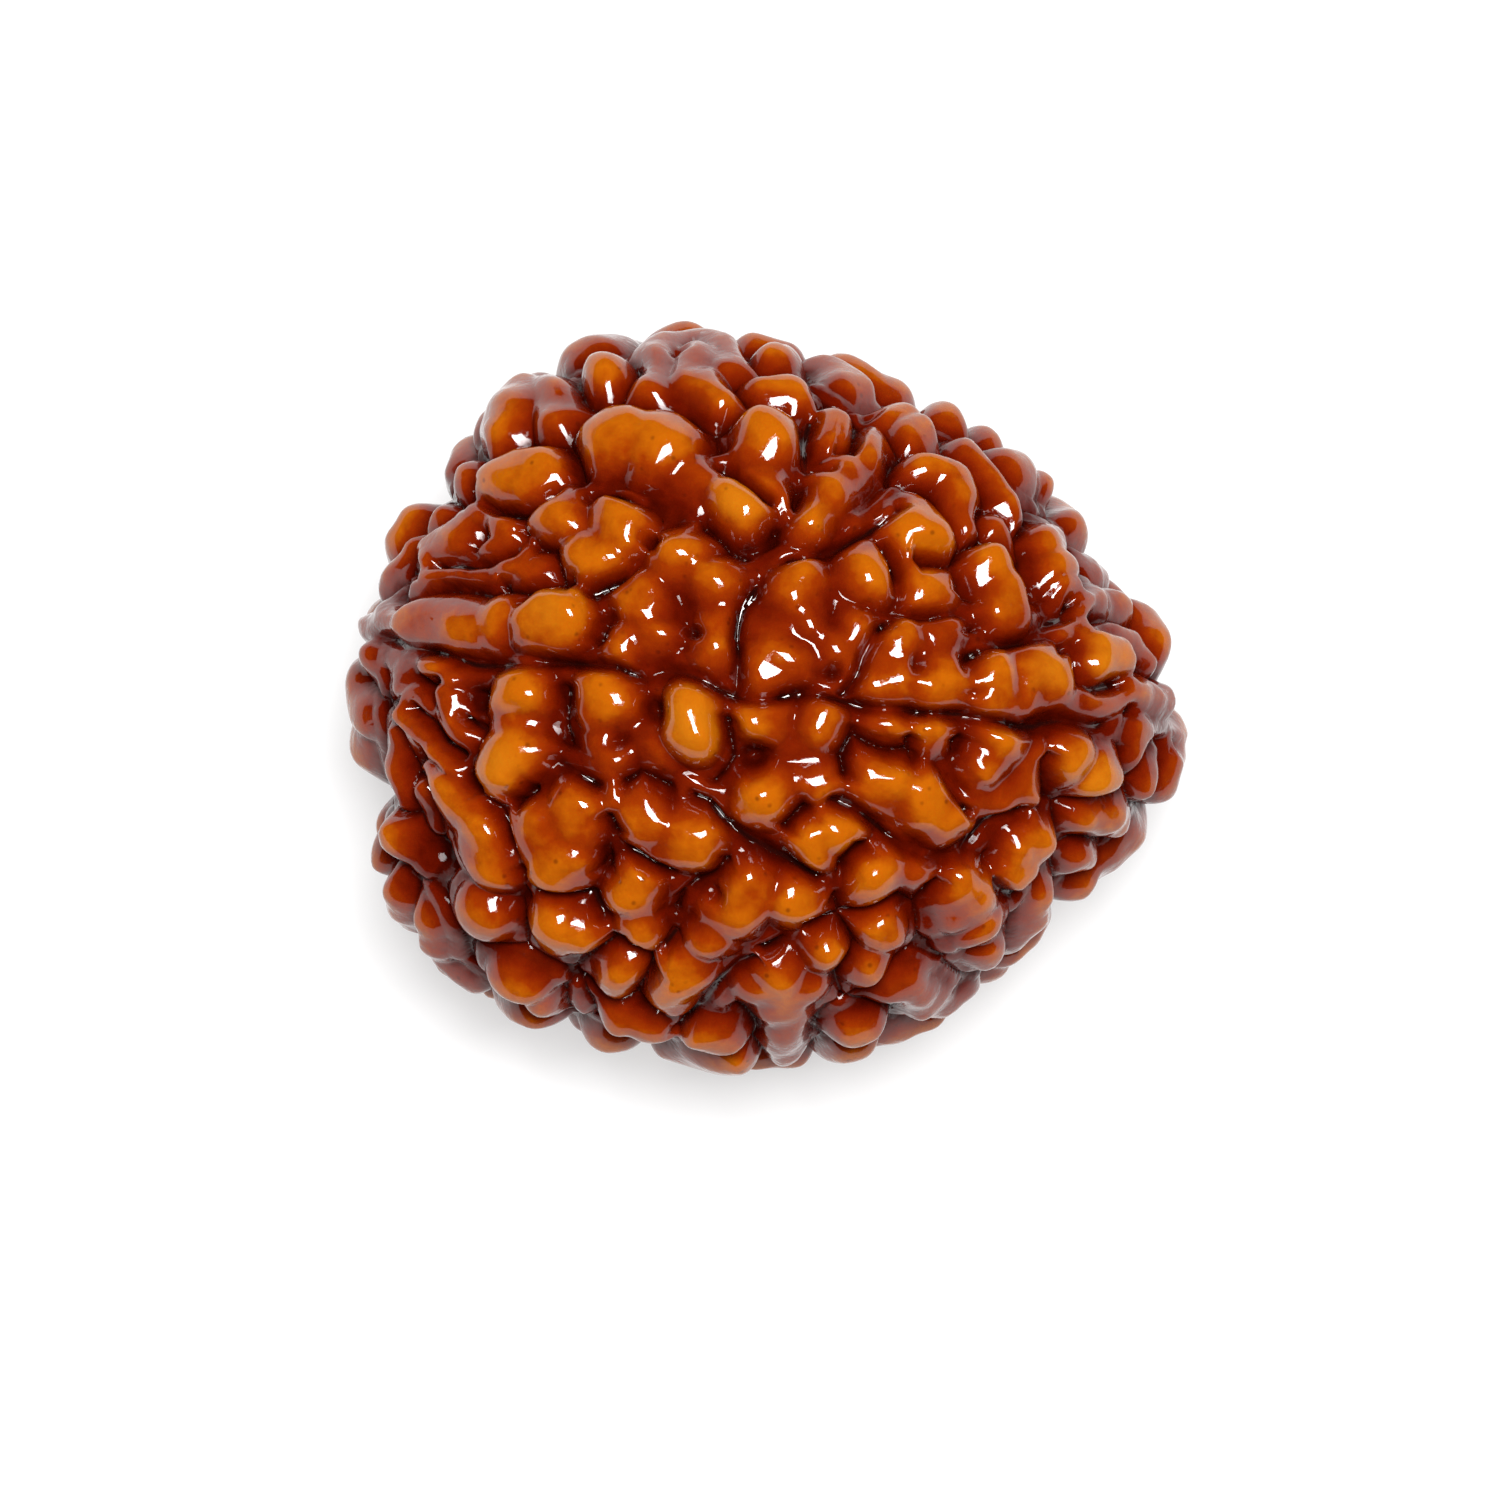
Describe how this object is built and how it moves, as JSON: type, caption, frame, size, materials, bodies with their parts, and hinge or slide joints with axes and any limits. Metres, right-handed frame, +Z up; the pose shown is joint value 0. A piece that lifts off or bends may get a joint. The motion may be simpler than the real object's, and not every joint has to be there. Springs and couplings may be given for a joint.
{
  "type": "rudraksha seed",
  "caption": "Natural two-faced rudraksha seed: a flattened woody stone covered with knobs, ridges and furrows, resting on a small flat spot.",
  "frame": {"origin": "under the middle of the seed, on the plane of its rest spot", "axes": "+Z up, +X along the long axis from the stem pole to the tip, Y across"},
  "size_m": [0.0221, 0.0198, 0.0156],
  "materials": {
    "seed": "oiled and glossy"
  },
  "bodies": {
    "root": {"seed": "seed"}
  },
  "joints": []
}
